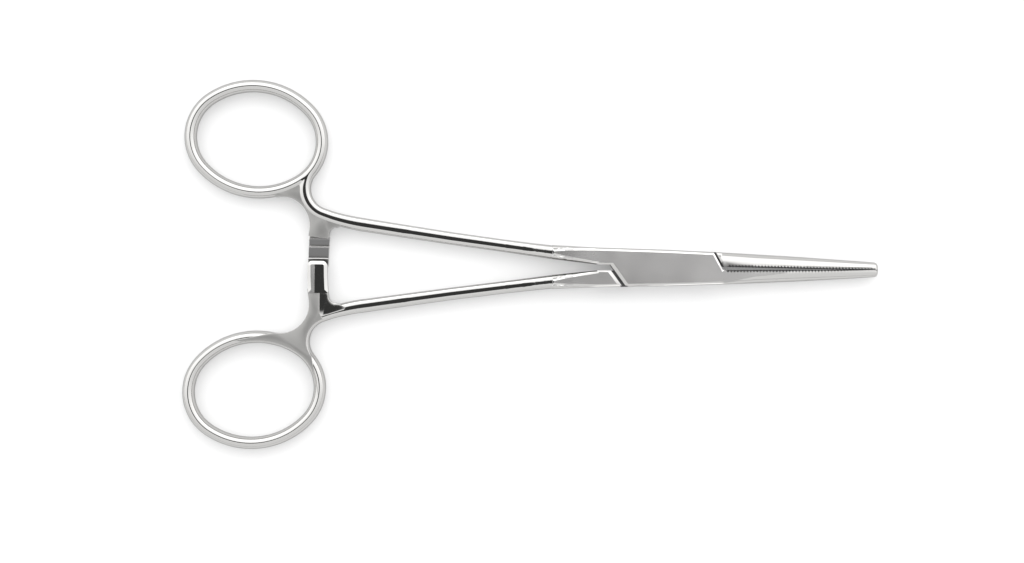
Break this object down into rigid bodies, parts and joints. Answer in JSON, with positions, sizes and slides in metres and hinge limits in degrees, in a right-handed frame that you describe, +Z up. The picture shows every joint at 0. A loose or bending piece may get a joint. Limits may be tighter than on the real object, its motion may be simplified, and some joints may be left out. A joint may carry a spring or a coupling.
{
  "type": "hemostat forceps",
  "caption": "Straight hemostat forceps with two finger rings, a ratchet that latches the shanks, a flush box lock and cross-serrated tapering jaws.",
  "frame": {"origin": "middle of the length and width, at the level of the surface that the forceps lie on", "axes": "+X from the finger rings to the jaw tips, +Y towards the finger ring of the box half, +Z up, along the box lock's pin"},
  "size_m": [0.1398, 0.0744, 0.0045],
  "materials": {
    "box_half_steel": "polished, with satin ground flats on the box lock",
    "tongue_half_steel": "polished, with a satin ground flat beside the box lock",
    "pin_steel": "satin, ground flush"
  },
  "bodies": {
    "box_body": {"box_lock_half": "box_half_steel", "box_lock_pin": "pin_steel"},
    "tongue_body": {"tongue_half": "tongue_half_steel"}
  },
  "joints": [
    {"name": "box_lock", "type": "hinge", "parent": "box_body", "child": "tongue_body", "pos_m": [0.02735, 0, 0.00225], "axis": [0, 0, 1], "range_deg": [0, 50]}
  ]
}
